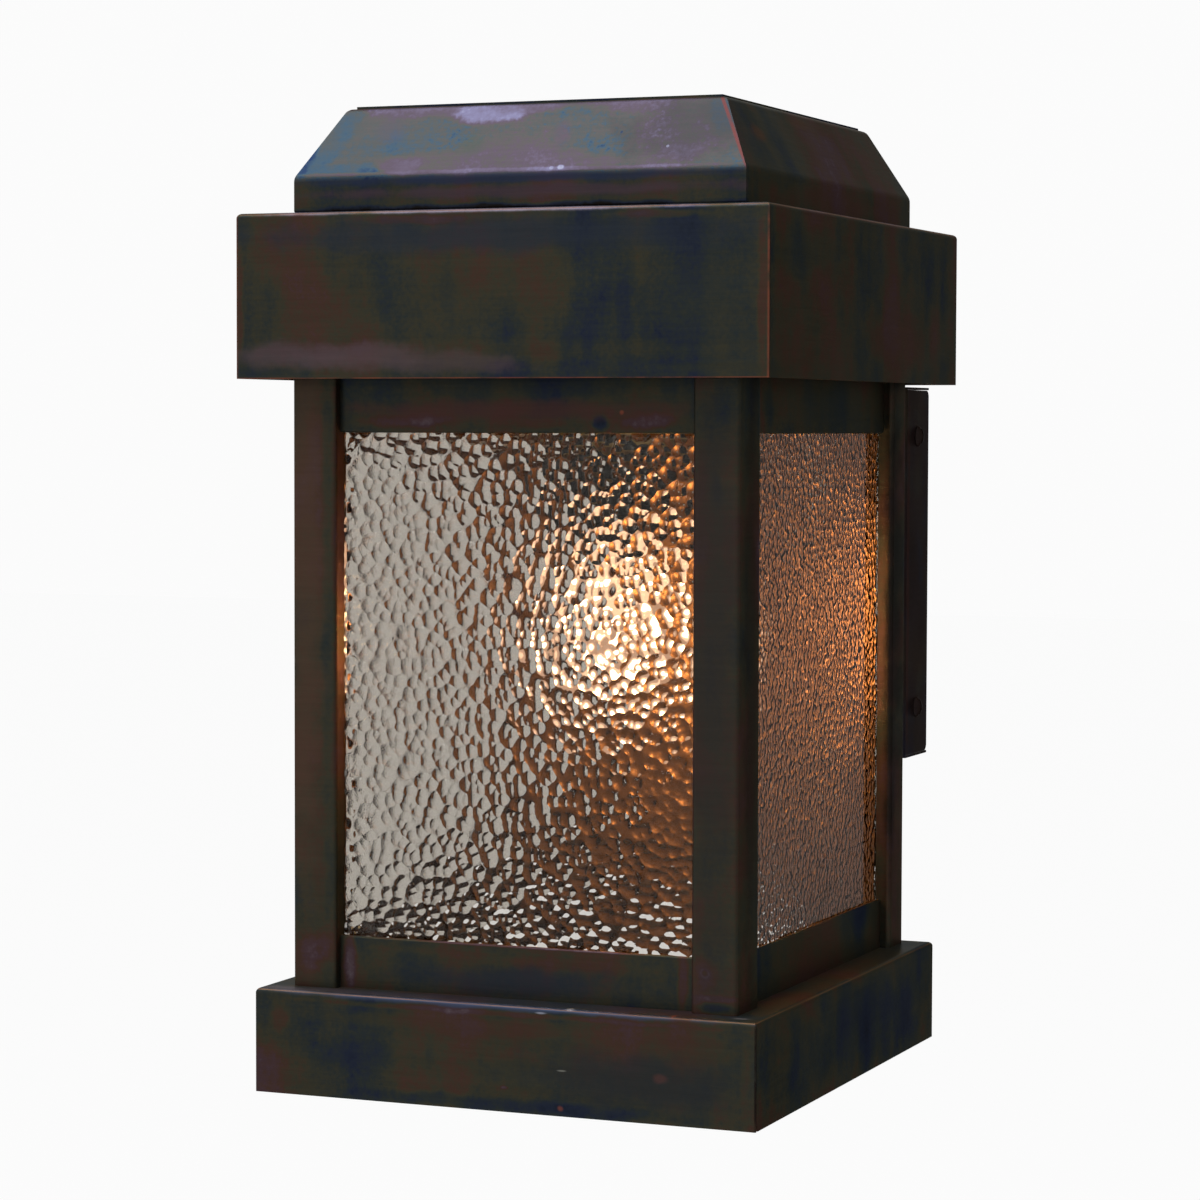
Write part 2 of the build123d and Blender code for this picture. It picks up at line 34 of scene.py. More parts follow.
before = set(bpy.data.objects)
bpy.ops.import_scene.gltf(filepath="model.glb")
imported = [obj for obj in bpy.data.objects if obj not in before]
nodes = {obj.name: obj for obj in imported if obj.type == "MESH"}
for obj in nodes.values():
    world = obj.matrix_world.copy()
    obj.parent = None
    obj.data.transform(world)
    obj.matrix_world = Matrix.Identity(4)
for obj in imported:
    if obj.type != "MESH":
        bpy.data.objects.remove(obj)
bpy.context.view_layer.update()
millimetre = 0.001
print("frame loaded")


# Camera

cameraSetup = {
    "place": (0.5621, -1.5266, 0.06481),
    "yaw": 22.29,
    "pitchDown": 2.833,
    "roll": 0.161,
    "lens": 105.149,
    "sensor": 36.0,
    "near": 0.05,
    "far": 60.0,
}


def makeCamera(setup):
    data = bpy.data.cameras.new("photoCamera")
    data.lens = setup["lens"]
    data.sensor_width = setup["sensor"]
    data.clip_start = setup["near"]
    data.clip_end = setup["far"]
    camera = bpy.data.objects.new("photoCamera", data)
    bpy.context.collection.objects.link(camera)
    turn = Matrix.Rotation(math.radians(setup["yaw"]), 4, "Z")
    tilt = Matrix.Rotation(math.radians(90 - setup["pitchDown"]), 4, "X")
    roll = Matrix.Rotation(math.radians(setup["roll"]), 4, "Z")
    camera.matrix_world = Matrix.Translation(setup["place"]) @ turn @ tilt @ roll
    bpy.context.scene.camera = camera


makeCamera(cameraSetup)
bpy.context.scene.view_settings.view_transform = "Standard"
print("camera placed")


# Shader helpers


class Value:
    # Wraps a socket, so that masks are written as sums and products
    def __init__(self, finish, socket):
        self.finish = finish
        self.socket = socket

    def calc(self, operation, *values):
        return self.finish.node("ShaderNodeMath", {"operation": operation}, dict(enumerate(values)))

    def __add__(self, other):
        return self.calc("ADD", self, other)

    def __radd__(self, other):
        return self.calc("ADD", other, self)

    def __sub__(self, other):
        return self.calc("SUBTRACT", self, other)

    def __rsub__(self, other):
        return self.calc("SUBTRACT", other, self)

    def __mul__(self, other):
        return self.calc("MULTIPLY", self, other)

    def __rmul__(self, other):
        return self.calc("MULTIPLY", other, self)

    def between(self, low, high):
        # 0 at low, 1 at high, smooth in between; low may be the larger of the two
        settings = {"interpolation_type": "SMOOTHSTEP"}
        return self.finish.node("ShaderNodeMapRange", settings, {0: self, 1: low, 2: high})


class Finish:
    # One material, or the world, and the ways to add nodes to it
    def __init__(self, tree):
        self.tree = tree
        self.tree.nodes.clear()

    def node(self, kind, settings=None, sockets=None, out=0):
        made = self.tree.nodes.new(kind)
        for key, value in (settings or {}).items():
            if key == "stops":
                self.setStops(made.color_ramp, value)
            else:
                setattr(made, key, value)
        for key, value in (sockets or {}).items():
            if isinstance(value, Value):
                self.tree.links.new(value.socket, made.inputs[key])
            else:
                made.inputs[key].default_value = value
        return Value(self, made.outputs[out])

    def setStops(self, ramp, stops):
        while len(ramp.elements) < len(stops):
            ramp.elements.new(1.0)
        for element, (place, colour) in zip(ramp.elements, stops):
            element.position = place
            element.color = (*colour, 1.0)

    def vector(self, operation, *values, out=0, **named):
        sockets = dict(enumerate(values)) | named
        return self.node("ShaderNodeVectorMath", {"operation": operation}, sockets, out)

    def mix(self, amount, first, second):
        settings = {"data_type": "RGBA", "clamp_factor": True}
        return self.node("ShaderNodeMix", settings, {0: amount, 6: full(first), 7: full(second)}, 2)

    def ramp(self, amount, stops):
        return self.node("ShaderNodeValToRGB", {"stops": stops}, {0: amount})

    def place(self):
        return self.node("ShaderNodeTexCoord", out="Object")

    def facing(self):
        return self.node("ShaderNodeTexCoord", out="Normal")

    def rays(self, *kinds):
        # 1 for these kinds of ray, as in "Is Shadow Ray"
        outputs = self.node("ShaderNodeLightPath").socket.node.outputs
        found = Value(self, outputs[kinds[0]])
        for kind in kinds[1:]:
            found = found.calc("MAXIMUM", found, Value(self, outputs[kind]))
        return found

    def parts(self, place):
        made = self.node("ShaderNodeSeparateXYZ", None, {0: place})
        return [Value(self, output) for output in made.socket.node.outputs]

    def noise(self, place, scale, seed, detail, roughness, stretch=(1, 1, 1), out=0):
        spread = self.vector("MULTIPLY", place, stretch)
        settings = {"noise_dimensions": "4D"}
        sockets = {"Vector": spread, "W": seed, "Scale": scale, "Detail": detail, "Roughness": roughness}
        return self.node("ShaderNodeTexNoise", settings, sockets, out)

    def bump(self, height, strength, distance, normal=None):
        sockets = {"Height": height, "Strength": strength, "Distance": distance}
        if normal is not None:
            sockets["Normal"] = normal
        return self.node("ShaderNodeBump", None, sockets)

    def principled(self, **sockets):
        named = {key.replace("_", " "): value for key, value in sockets.items()}
        return self.node("ShaderNodeBsdfPrincipled", None, named)

    def output(self, kind, shader):
        made = self.tree.nodes.new(kind)
        self.tree.links.new(shader.socket, made.inputs["Surface"])


def newFinish(name):
    material = bpy.data.materials.new(name)
    material.use_nodes = True
    return material, Finish(material.node_tree)


def full(colour):
    return colour if isinstance(colour, Value) else (*colour[:3], 1.0)


def grey(level):
    return (level, level, level, 1.0)


def mm(*values):
    return tuple(millimetre * value for value in values)


def dress(material, *nodeNames):
    # Gives CAD nodes their finish
    for nodeName in nodeNames:
        mesh = nodes[nodeName].data
        mesh.materials.clear()
        mesh.materials.append(material)


# Copper with a heat patina. The film on the copper runs from soot through navy, olive, russet and
# plum to lilac, so that a patch of another thickness gets the right colours round its border.

filmColours = [
    (0.00, (0.009, 0.007, 0.006)),
    (0.10, (0.011, 0.014, 0.022)),
    (0.20, (0.016, 0.021, 0.037)),
    (0.32, (0.024, 0.029, 0.028)),
    (0.45, (0.038, 0.036, 0.024)),
    (0.58, (0.053, 0.029, 0.021)),
    (0.70, (0.053, 0.031, 0.036)),
    (0.80, (0.080, 0.058, 0.068)),
    (0.90, (0.125, 0.113, 0.140)),
    (1.00, (0.210, 0.225, 0.270)),
]

# The brighter film on the slopes of the cap: patina colours, lifted as painted light where the slopes
# face the light
bloomAndPaintedLightColours = [
    (0.00, (0.011, 0.022, 0.062)),
    (0.18, (0.030, 0.052, 0.076)),
    (0.34, (0.046, 0.050, 0.051)),
    (0.50, (0.054, 0.050, 0.051)),
    (0.64, (0.057, 0.045, 0.062)),
    (0.78, (0.074, 0.062, 0.094)),
    (0.90, (0.105, 0.100, 0.165)),
    (1.00, (0.170, 0.175, 0.240)),
]

# Thicknesses on the scale of the film
soot, slate, olive, russet, plum, rose = 0.0, 0.31, 0.44, 0.58, 0.71, 0.80

umber = (0.022, 0.013, 0.010)
rawCopper = (0.22, 0.060, 0.034)
innerCopper = (0.16, 0.080, 0.036)

patinaLook = {
    # Noises: scale per metre, step of the seed, detail, roughness and, where it is drawn out, stretch
    "cloud": (20.0, 0, 4, 0.55),
    "streak": (34.0, 3, 4, 0.55, (1.5, 1.5, 0.3)),
    "speck": (520.0, 6, 2, 0.6),
    "grain": (420.0, 8, 3, 0.7, (0.06, 0.06, 1.4)),
    "ragged": (75.0, 11, 4, 0.6),
    "swirl": (60.0, 14, 4, 0.62),
    "stain": (38.0, 20, 4, 0.6),
    "wave": (13.0, 5, 2, 0.4),
    # How far the thickness of the film drifts, and how much of that stays inside a spot
    "cloudDepth": 1.0,
    "streakDepth": 0.75,
    "speckDepth": 0.30,
    "swirlDepth": 1.5,
    "spotDrift": 0.5,
    "spotSoft": 0.7,
    # The bloom on the cap: its patina, and the painted light that brightens the slopes facing the light
    "bloomDrift": 1.3,
    "bloomSpeck": 0.5,
    "bloomSoft": 0.5,
    # Worn lines, and the bare copper inside
    "worn": (0.30, 0.55),
    "lineCore": 0.3,
    "edge": 0.2,
    "stained": (0.35, 0.65),
    "stainShade": 0.62,
    # Shade of the colour, and a painted shade on the faces that look to +X
    "shade": 0.75,
    "shadeGrain": 0.3,
    "shadeCloud": 0.2,
    "paintedRightShade": 0.72,
    "paintedShadeFacing": (0.3, 0.9),
    # Surface
    "roughness": 0.24,
    "roughGrain": 0.14,
    "roughCloud": 0.1,
    "metal": 0.5,
    "gloss": 0.0,
    "grazingTint": 0.42,
    "waveBump": (0.35, 0.006),
    "grainBump": (0.10, 0.0006),
}


def spotMask(finish, place, swirl, at, size, soft):
    # Full in the middle of an ellipsoid, with a border that noise breaks up
    away = finish.vector("SUBTRACT", place, mm(*at))
    away = finish.vector("DIVIDE", away, mm(*size))
    away = finish.vector("ADD", away, swirl)
    return finish.vector("LENGTH", away, out="Value").between(1.0, 1.0 - soft)


def lineMask(finish, place, start, end, width):
    # Close to the line through two points
    along = Vector(mm(*end)) - Vector(mm(*start))
    away = finish.vector("SUBTRACT", place, mm(*start))
    across = finish.vector("CROSS_PRODUCT", away, tuple(along.normalized()))
    core = width * patinaLook["lineCore"]
    return finish.vector("LENGTH", across, out="Value").between(*mm(width, core))


def insideMask(finish, place, low, high):
    # Full inside a box given in millimetres; a side of None is open
    soft = patinaLook["edge"]
    mask = None
    for axis, value in enumerate(finish.parts(place)):
        for limit, sign in ((low[axis], 1), (high[axis], -1)):
            if limit is not None:
                part = value.between(*mm(limit - sign * soft, limit + sign * soft))
                mask = part if mask is None else mask * part
    return mask


def patina(name, seed, part):
    # part holds the film and the spots of one piece, and its worn lines, bare inside and bloom with
    # painted light if any.
    # A spot's target is a thickness of the film, or a colour.
    look = patinaLook
    material, finish = newFinish(name)
    place = finish.place()

    def cloudy(key, out=0):
        scale, step, detail, roughness, *stretch = look[key]
        return finish.noise(place, scale, seed + step, detail, roughness, *stretch, out=out)

    def blotted(level, spots, soft, tints):
        for at, size, target, amount in spots:
            mask = spotMask(finish, place, swirl, at, size, soft) * amount
            if isinstance(target, tuple):
                tints.append((mask, target))
            else:
                level = level + (target - level + drift * look["spotDrift"]) * mask
        return level

    clouds, streaks, specks, grain = (cloudy(key) for key in ("cloud", "streak", "speck", "grain"))
    swirl = finish.vector("SUBTRACT", cloudy("swirl", out=1), (0.5, 0.5, 0.5))
    swirl = finish.vector("SCALE", swirl, Scale=look["swirlDepth"])
    drift = (clouds - 0.5) * look["cloudDepth"] + (streaks - 0.5) * look["streakDepth"]
    drift = drift + (specks - 0.5) * look["speckDepth"]
    tints = []
    level = blotted(drift + part["film"], part.get("spots", ()), look["spotSoft"], tints)
    colour = finish.ramp(level, filmColours)
    if "bloomAndPaintedLight" in part:
        bloomAndPaintedLight = part["bloomAndPaintedLight"]
        pale = drift * look["bloomDrift"] + (specks - 0.5) * look["bloomSpeck"] + bloomAndPaintedLight["film"]
        pale = blotted(pale, bloomAndPaintedLight["spots"], look["bloomSoft"], tints)
        # Painted light: faces turned towards the bloom's light take the brighter colours
        paintedLightFacing = finish.vector("DOT_PRODUCT", finish.facing(), bloomAndPaintedLight["light"], out="Value")
        colour = finish.mix(paintedLightFacing.between(*bloomAndPaintedLight["reach"]), colour, finish.ramp(pale, bloomAndPaintedLightColours))
    for mask, tint in tints:
        colour = finish.mix(mask, colour, tint)
    ragged = cloudy("ragged").between(*look["worn"])
    for start, end, width, tint, amount in part.get("lines", ()):
        colour = finish.mix(lineMask(finish, place, start, end, width) * ragged * amount, colour, tint)
    # Painted shade: faces that look to +X are darkened
    paintedShadeOnRight = finish.parts(finish.facing())[0].between(*look["paintedShadeFacing"])
    shade = grain * look["shadeGrain"] + clouds * look["shadeCloud"] + look["shade"]
    shade = shade * (1 - paintedShadeOnRight * (1 - look["paintedRightShade"]))
    if "inside" in part:
        inner = insideMask(finish, place, *part["inside"])
        stained = cloudy("stain").between(*look["stained"])
        dull = tuple(c * look["stainShade"] for c in innerCopper)
        colour = finish.mix(inner, colour, finish.mix(stained, innerCopper, dull))
        shade = shade + (1 - shade) * inner
    normal = finish.bump(cloudy("wave"), *look["waveBump"])
    normal = finish.bump(grain, *look["grainBump"], normal)
    shader = finish.principled(
        Base_Color=finish.vector("SCALE", colour, Scale=shade),
        Metallic=look["metal"],
        Roughness=grain * look["roughGrain"] + clouds * look["roughCloud"] + look["roughness"],
        Specular_IOR_Level=look["gloss"],
        Specular_Tint=grey(look["grazingTint"]),
        Normal=normal,
    )
    finish.output("ShaderNodeOutputMaterial", shader)
    return material


# All in millimetres. A spot has its middle, half size, target and amount; a line its two ends, width,
# colour and amount; and inside gives two corners of the box in which the copper is bare.

# Crown band

bandLook = {
    "film": olive,
    "spots": [
        ((0, -265.4, 140), (150, 8, 10), (0.022, 0.028, 0.040), 0.7),
        ((-36, -265.4, 146.6), (34, 8, 2.6), plum, 0.75),
        ((70, -265.4, 146.6), (30, 8, 2.2), plum, 0.7),
        ((0, -265.4, 95), (150, 8, 6), plum, 0.35),
        ((54, -265.4, 110), (5, 8, 24), 0.27, 0.6),
        ((63, -265.4, 106), (4, 8, 20), 0.26, 0.55),
        ((40, -265.4, 100), (3.4, 8, 15), 0.26, 0.55),
        ((31, -265.4, 98), (4, 8, 12), 0.28, 0.5),
        ((90, -265.4, 112), (24, 8, 34), 0.30, 0.7),
        ((-20, -265.4, 118), (6, 8, 17), 0.30, 0.4),
        ((-48, -265.4, 117), (5, 8, 15), 0.30, 0.4),
        ((90, -265.4, 88), (36, 8, 3), olive, 0.8),
        ((-92, -265.4, 93), (34, 8, 7.5), (0.078, 0.056, 0.066), 0.62),
        ((-56, -265.4, 92), (40, 8, 8.0), (0.088, 0.060, 0.068), 0.6),
        ((-14, -265.4, 90), (34, 8, 6.5), (0.074, 0.052, 0.054), 0.55),
        ((-104, -265.4, 86), (24, 8, 3.4), slate, 0.9),
        ((111.6, -265.4, 115), (3, 8, 36), rose, 0.45),
        ((-113, -265.4, 116), (2.6, 8, 30), plum, 0.6),
        # Painted highlight along the top bend of the band
        ((0, -265.4, 150.3), (150, 3.0, 1.9), (0.115, 0.098, 0.130), 0.9),
        ((114.3, -225, 134), (8, 46, 15), slate, 0.7),
        ((114.3, -95, 103), (8, 70, 18), russet, 0.8),
        # Painted highlight along the top bend of the right side
        ((114.3, -140, 150.3), (2.5, 160, 1.5), rose, 0.7),
        ((0, -140, 150.4), (150, 150, 1.0), plum, 0.6),
    ],
    "lines": [
        ((114.3, -265.4, 84), (114.3, -265.4, 150), 1.1, rawCopper, 0.55),
        ((-114.3, -265.4, 84), (-114.3, -265.4, 150), 0.9, rawCopper, 0.35),
        ((-114, -265.4, 83.7), (114, -265.4, 83.7), 0.6, rawCopper, 0.55),
    ],
    "inside": ((-113.8, -264.9, None), (113.8, -16.8, 149.9)),
}

# Cap

hoodLook = {
    "film": olive + 0.06,
    "spots": [
        # Painted reflection on the skirt: navy, then plum, then black at its foot
        ((0, -246.5, 163.4), (130, 6, 2.8), (0.020, 0.028, 0.060), 0.75),
        ((10, -246.5, 158.2), (130, 6, 3.6), (0.056, 0.036, 0.048), 0.7),
        ((0, -246.5, 151.6), (130, 6, 2.8), soot, 0.9),
        ((98, -140, 157), (8, 120, 8), russet, 0.8),
        ((90, -175, 176), (16, 80, 10), olive, 0.6),
        ((89, -210, 181), (6, 11, 5), (0.085, 0.038, 0.018), 0.55),
        ((84, -150, 190), (6, 16, 4), (0.080, 0.040, 0.020), 0.4),
        ((74, -236, 182), (42, 26, 22), (0.027, 0.026, 0.030), 0.5),
        ((16, -236, 180), (5, 8, 11), (0.060, 0.040, 0.070), 0.35),
        ((-22, -238, 177), (7, 8, 8), (0.040, 0.050, 0.044), 0.45),
        ((-60, -234, 185), (9, 10, 9), (0.050, 0.046, 0.064), 0.4),
    ],
    "lines": [((80.7, -227.4, 194.6), (97.9, -246.5, 165.5), 1.0, (0.10, 0.030, 0.028), 0.8)],
    "bloomAndPaintedLight": {
        "film": 0.47,
        # Painted light falls on the faces turned this way
        "light": (-0.30, -0.80, 0.52),
        "reach": (0.78, 0.93),
        "spots": [
            ((-72, -238, 178), (44, 22, 18), 0.27, 0.55),
            ((-10, -243, 170), (86, 9, 7.5), 0.74, 0.6),
            ((-6, -238, 176), (26, 9, 5), 0.64, 0.5),
            ((-88, -236, 181), (13, 16, 18), 0.18, 0.8),
            ((-96, -240, 178), (7, 22, 20), 0.03, 0.95),
            ((-70, -244.5, 169), (26, 8, 3.4), 0.20, 0.6),
            ((-81, -229, 191), (9, 10, 6), 0.16, 0.7),
            ((84, -233, 186), (12, 14, 14), 0.20, 0.8),
            ((0, -226, 194.3), (120, 6, 3.0), 0.78, 0.6),
            ((-46, -229, 192.5), (34, 8, 4.0), 0.74, 0.65),
            ((-17, -230, 190.5), (20, 12, 6.5), 0.93, 0.95),
            ((-2, -229, 192.5), (22, 8, 4.0), 0.80, 0.7),
            ((46, -229, 192.5), (22, 10, 4.2), 0.80, 0.55),
            ((-52, -243.8, 169.8), (17, 8, 5.0), 0.86, 0.6),
            ((-52, -243.8, 168.9), (14, 8, 3.8), 0.76, 0.8),
            ((38, -244.3, 169.5), (13, 8, 2.6), 0.80, 0.6),
            ((70, -242, 172), (12, 8, 5.0), 0.74, 0.6),
            # Painted highlight along the lower fold of the slope
            ((0, -246.2, 166.6), (120, 4, 1.3), 0.84, 0.75),
            ((19.3, -245.4, 167.2), (2.0, 4, 1.4), 1.0, 0.9),
            ((15.5, -245.4, 167.0), (1.2, 4, 1.0), 0.95, 0.8),
            ((63, -240.5, 174.6), (0.9, 4, 0.8), 1.0, 0.9),
            ((42, -236, 181), (0.8, 4, 0.7), 0.0, 0.8),
        ],
    },
}

# Posts, back sheet and rails

postLook = {
    "film": olive + 0.06,
    "spots": [
        ((-81, -250, 0), (4, 8, 200), 0.29, 0.6),
        ((-91, -250, 20), (11, 8, 190), (0.072, 0.043, 0.030), 0.6),
        ((-87, -250, 60), (5, 8, 26), 0.75, 0.45),
        ((-92, -250, -70), (5, 8, 50), 0.46, 0.6),
        ((-84, -250, -120), (6, 8, 22), 0.68, 0.4),
        ((-87, -250, -149), (11, 8, 9), 0.77, 0.7),
        ((-84.7, -250, -149.6), (2.6, 8, 2.6), 0.62, 0.9),
        ((-88, -250, -161), (13, 8, 5), 0.45, 0.8),
        ((86, -250, -20), (16, 8, 190), (0.030, 0.025, 0.024), 0.65),
        ((81, -250, -20), (4, 8, 170), 0.70, 0.3),
        ((88, -250, 20), (4, 8, 90), 0.43, 0.6),
        ((88, -250, 40), (4, 8, 8), 0.30, 0.7),
        ((84, -250, -148), (7, 8, 9), 0.76, 0.7),
        ((83.6, -250, -148.6), (2.8, 8, 2.8), 0.84, 0.8),
        ((83.6, -250, -148.6), (1.7, 8, 1.7), 0.58, 0.9),
        ((88, -250, -158.5), (12, 8, 2.2), 0.83, 0.55),
        ((88, -250, -162.5), (11, 8, 3.4), 0.15, 0.8),
        # Painted highlight on the rolled left edge of the right post
        ((78.0, -250, -40), (0.9, 2.5, 160), 0.84, 0.55),
        ((97, -220, -150), (4, 6, 18), 0.26, 0.9),
        ((97, -232, -20), (4, 6, 150), 0.52, 0.6),
        ((97, -236, -20), (4, 12, 200), (0.020, 0.017, 0.015), 0.6),
        ((97, -60, -20), (5, 30, 200), (0.012, 0.011, 0.010), 0.85),
    ],
    "inside": ((-88.6, -240.2, None), (88.6, -35.0, None)),
}

railLook = {
    "film": olive,
    "spots": [
        ((0, -245.5, 84), (90, 6, 18), 0.25, 0.85),
        ((0, -245.5, 71), (90, 6, 6), (0.062, 0.028, 0.026), 0.7),
        ((-46, -245.5, 67), (30, 6, 3.8), 0.82, 0.6),
        ((12, -245.5, 66), (16, 6, 3.0), 0.82, 0.45),
        ((58, -245.5, 67), (16, 6, 4.6), 0.85, 0.6),
        ((37, -245.5, 66.5), (5.5, 6, 4.5), 0.05, 0.85),
        ((46, -245.5, 70.5), (1.3, 4, 1.3), rawCopper, 0.6),
        ((71, -245.5, 74), (5, 6, 14), 0.48, 0.8),
        ((-73, -245.5, -154), (4.2, 6, 16), 0.80, 0.8),
        ((73, -245.5, -154), (3.6, 6, 16), 0.79, 0.75),
        ((0, -245.5, -158), (70, 6, 9), (0.018, 0.023, 0.036), 0.7),
        ((20, -245.5, -150), (60, 6, 3.4), 0.60, 0.5),
        ((-30, -245.5, -148), (40, 6, 2.4), 0.55, 0.5),
        ((0, -245.5, -143.9), (90, 6, 0.8), 0.77, 0.7),
        ((92.5, -213, -150), (6, 5, 16), 0.26, 0.9),
        ((92.5, -205, 74), (6, 8, 16), 0.26, 0.7),
        ((92.5, -130, 74), (6, 70, 14), 0.38, 0.7),
    ],
    "inside": ((-91.5, -244.5, None), (91.5, None, None)),
}

# Plinth

plinthLook = {
    "film": olive + 0.03,
    "spots": [
        ((0, -262, -174), (130, 8, 5), 0.58, 0.6),
        ((10, -260.6, -175), (36, 8, 6), 0.61, 0.6),
        ((84, -260.6, -180), (22, 8, 13), 0.61, 0.75),
        ((-60, -260.6, -190), (34, 8, 9), 0.28, 0.6),
        ((-98, -260.6, -176), (6, 8, 9), 0.72, 0.6),
        ((-104, -260.6, -196), (10, 8, 9), 0.68, 0.45),
        ((10, -260.6, -192), (26, 8, 7), 0.30, 0.6),
        ((62, -260.6, -192), (60, 8, 16), (0.024, 0.026, 0.028), 0.8),
        ((0, -260.6, -205), (110, 8, 4), 0.20, 0.7),
        ((0, -261, -168.6), (130, 4, 1.6), 0.745, 0.6),
        ((104.5, -260.6, -186), (2.8, 6, 24), 0.56, 0.7),
        # Painted reflection on the top bend and ledge of the plinth, paler towards the left
        ((0, -260.0, -165.9), (130, 3.2, 1.9), (0.040, 0.052, 0.090), 0.9),
        ((0, -252, -165), (130, 9, 1.4), (0.032, 0.037, 0.056), 0.55),
        ((-60, -256, -165), (50, 8, 1.4), (0.066, 0.056, 0.070), 0.6),
        ((-96, -258, -165), (20, 8, 1.4), (0.100, 0.085, 0.098), 0.6),
        ((27.6, -260.6, -189.5), (2.6, 4, 0.5), (0.17, 0.17, 0.15), 0.8),
        ((26.7, -260.6, -205), (1.6, 4, 1.6), rawCopper, 0.5),
        ((69, -260.6, -190), (4, 4, 2.4), (0.085, 0.040, 0.036), 0.6),
        ((2.5, -260.6, -198), (2.2, 4, 1.2), 0.84, 0.7),
        ((30.8, -260.0, -165.2), (2.4, 4, 0.7), (0.30, 0.30, 0.34), 0.8),
        ((18, -260.6, -167.2), (3.4, 4, 0.6), (0.26, 0.27, 0.33), 0.8),
        ((73.9, -258, -165), (1.2, 3, 1.4), rawCopper, 0.8),
        ((100, -254, -165), (6, 2.2, 1.4), (0.22, 0.20, 0.20), 0.6),
        ((108.7, -140, -186), (6, 160, 30), 0.22, 0.75),
    ],
    "lines": [((108.7, -260.6, -207), (108.7, -260.6, -166), 0.9, (0.012, 0.008, 0.007), 0.9)],
    "inside": ((-108.2, -260.1, None), (108.2, -27.4, -165.5)),
}

boxLook = {
    "film": slate,
    "spots": [
        ((0, -17, 0), (300, 60, 300), umber, 0.85),
        ((97, -30, -10), (5, 3, 120), (0.034, 0.014, 0.011), 0.8),
    ],
}

plateLook = {"film": slate}

rails = [f"{side}_{level}_rail" for side in ("front", "left", "right") for level in ("top", "bottom")]
patinas = [
    ("bandPatina", 2.3, bandLook, ["crown_band"]),
    ("hoodPatina", 9.1, hoodLook, ["cap_hood"]),
    ("platePatina", 4.4, plateLook, ["cap_top_plate"]),
    ("postPatina", 6.2, postLook, ["front_left_post", "front_right_post", "back_shell"]),
    ("railPatina", 12.6, railLook, rails),
    ("plinthPatina", 15.8, plinthLook, ["plinth"]),
    ("boxPatina", 18.9, boxLook, ["back_box", "back_box_rivets", "side_screws"]),
]
for name, seed, part, nodeNames in patinas:
    dress(patina(name, seed, part), *nodeNames)
print("patina made")


# Plain metals, rubber and moulded parts

plainLook = {
    "cloud": (160, 0.0, 4, 0.6),
    "fine": (900, 2.0, 2, 0.5),
    "clouded": (0.3, 0.7),
    "spread": 0.25,
    "roughSpread": 0.1,
    "bump": (0.1, 0.0003),
}

# Colour, roughness, share of metal and pieces
fittings = {
    "zincPlate": (
        (0.55, 0.56, 0.55),
        0.38,
        1.0,
        ["wall_bracket", "lamp_crossbar", "socket_nipple", "socket_locknuts"],
    ),
    "greenZinc": ((0.07, 0.30, 0.10), 0.35, 1.0, ["ground_screw"]),
    "rivetAluminium": ((0.70, 0.70, 0.70), 0.35, 1.0, ["crossbar_rivets"]),
    "dullBrass": (
        (0.50, 0.34, 0.14),
        0.33,
        1.0,
        ["socket_cap", "terminal_screws", "socket_shell", "socket_contact", "glass_clips"],
    ),
    "blackPhenolic": ((0.018, 0.015, 0.013), 0.35, 0.0, ["socket_body"]),
    "blackRubber": ((0.02, 0.02, 0.02), 0.7, 0.0, ["wire_grommet"]),
    "lampAluminium": ((0.72, 0.72, 0.72), 0.3, 1.0, ["lamp_cap"]),
    "blackGlass": ((0.01, 0.01, 0.012), 0.12, 0.0, ["lamp_insulator"]),
    "tinSolder": ((0.55, 0.55, 0.56), 0.35, 1.0, ["lamp_contact"]),
}


def plainFinish(name, colour, roughness, metallic, look):
    material, finish = newFinish(name)
    place = finish.place()
    cloud = finish.noise(place, *look["cloud"]).between(*look["clouded"])
    fine = finish.noise(place, *look["fine"])
    dark = tuple(c * (1 - look["spread"]) for c in colour)
    shader = finish.principled(
        Base_Color=finish.mix(cloud, dark, colour),
        Metallic=metallic,
        Roughness=fine * look["roughSpread"] + (roughness - look["roughSpread"] / 2),
        Normal=finish.bump(fine, *look["bump"]),
    )
    finish.output("ShaderNodeOutputMaterial", shader)
    return material


for name, (colour, roughness, metallic, nodeNames) in fittings.items():
    dress(plainFinish(name, colour, roughness, metallic, plainLook), *nodeNames)
print("fittings dressed")


# Lamp

lampLook = {
    # Glass, of which frost is the share that glows
    "glow": (1.0, 0.57, 0.35),
    "glowStrength": 3.1,
    "frost": 0.28,
    "clear": 0.97,
    "gloss": 0.03,
    "bend": 1.45,
    # Filament
    "hot": (1.0, 0.76, 0.58),
    "hotStrength": 200.0,
    # The round light inside, with its height above the lower end of the glass
    "light": (1.0, 0.61, 0.28),
    "power": 2.0,
    "lightRadius": 0.012,
    "lightHeight": 0.030,
}


def bulbGlass(look):
    # The glow is for the eye alone; the lamp light inside does the lighting
    material, finish = newFinish("bulbGlass")
    material.cycles.emission_sampling = "NONE"
    clear = finish.node("ShaderNodeBsdfTransparent", None, {0: grey(look["clear"])})
    glow = finish.node("ShaderNodeEmission", None, {0: (*look["glow"], 1), 1: look["glowStrength"]})
    gloss = finish.node("ShaderNodeBsdfGlossy", None, {"Roughness": look["gloss"]})
    body = finish.node("ShaderNodeMixShader", None, {0: look["frost"], 1: clear, 2: glow})
    sheen = finish.node("ShaderNodeFresnel", None, {"IOR": look["bend"]})
    lit = finish.node("ShaderNodeMixShader", None, {0: sheen, 1: body, 2: gloss})
    passing = finish.rays("Is Shadow Ray", "Is Diffuse Ray")
    whole = finish.node("ShaderNodeMixShader", None, {0: passing, 1: lit, 2: clear})
    finish.output("ShaderNodeOutputMaterial", whole)
    return material


